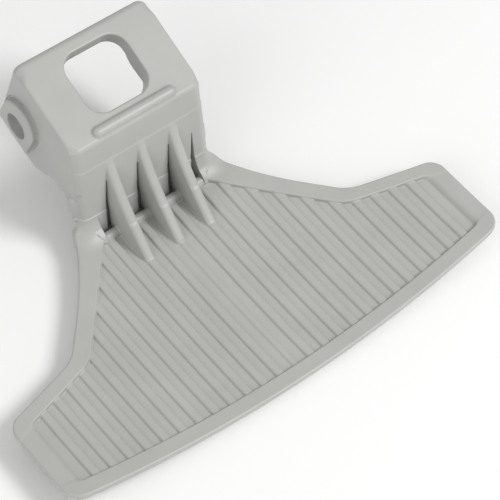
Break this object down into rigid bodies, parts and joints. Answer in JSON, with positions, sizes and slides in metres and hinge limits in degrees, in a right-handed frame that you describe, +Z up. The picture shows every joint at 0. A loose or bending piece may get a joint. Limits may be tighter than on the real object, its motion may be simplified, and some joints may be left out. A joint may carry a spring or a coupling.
{
  "type": "appliance door handle",
  "caption": "Wide fan-shaped pull handle of ribbed grey plastic with a hollow windowed head, pivot bosses and gussets at its neck.",
  "frame": {"origin": "middle of the underside of the bounding box, on the surface that the grip lies on", "axes": "+X along the pivot axis and the grip's width, +Y from the grip to the head, +Z up out of the grip's ribbed inner face"},
  "size_m": [0.1254, 0.0922, 0.0395],
  "materials": {
    "moulded_plastic": "satin silver-grey, injection moulded"
  },
  "bodies": {
    "root": {"grip_rim_lower": "moulded_plastic", "grip_rim_end_left": "moulded_plastic", "grip_rim_end_right": "moulded_plastic", "grip_rim_shoulder_left": "moulded_plastic", "grip_rim_shoulder_right": "moulded_plastic", "grip_rim_flare_left": "moulded_plastic", "grip_rim_flare_right": "moulded_plastic", "grip_floor": "moulded_plastic", "slat_01": "moulded_plastic", "slat_02": "moulded_plastic", "slat_03": "moulded_plastic", "slat_04": "moulded_plastic", "slat_05": "moulded_plastic", "slat_06": "moulded_plastic", "slat_07": "moulded_plastic", "slat_08": "moulded_plastic", "slat_09": "moulded_plastic", "slat_10": "moulded_plastic", "slat_11": "moulded_plastic", "slat_12": "moulded_plastic", "slat_13": "moulded_plastic", "slat_14": "moulded_plastic", "slat_15": "moulded_plastic", "slat_16": "moulded_plastic", "slat_17": "moulded_plastic", "slat_18": "moulded_plastic", "slat_19": "moulded_plastic", "slat_20": "moulded_plastic", "slat_21": "moulded_plastic", "slat_22": "moulded_plastic", "slat_23": "moulded_plastic", "slat_24": "moulded_plastic", "slat_25": "moulded_plastic", "gusset_left": "moulded_plastic", "gusset_centre": "moulded_plastic", "gusset_right": "moulded_plastic", "root_bar_1": "moulded_plastic", "root_bar_2": "moulded_plastic", "root_bar_3": "moulded_plastic", "root_bar_4": "moulded_plastic", "neck_front_wall": "moulded_plastic", "neck_skin": "moulded_plastic", "neck_cheek_left": "moulded_plastic", "neck_cheek_right": "moulded_plastic", "head_deck": "moulded_plastic", "window_collar": "moulded_plastic", "deck_ridge": "moulded_plastic", "head_cheek_left": "moulded_plastic", "head_cheek_right": "moulded_plastic", "head_back_wall": "moulded_plastic", "pivot_boss_left": "moulded_plastic", "pivot_boss_right": "moulded_plastic"}
  },
  "joints": []
}
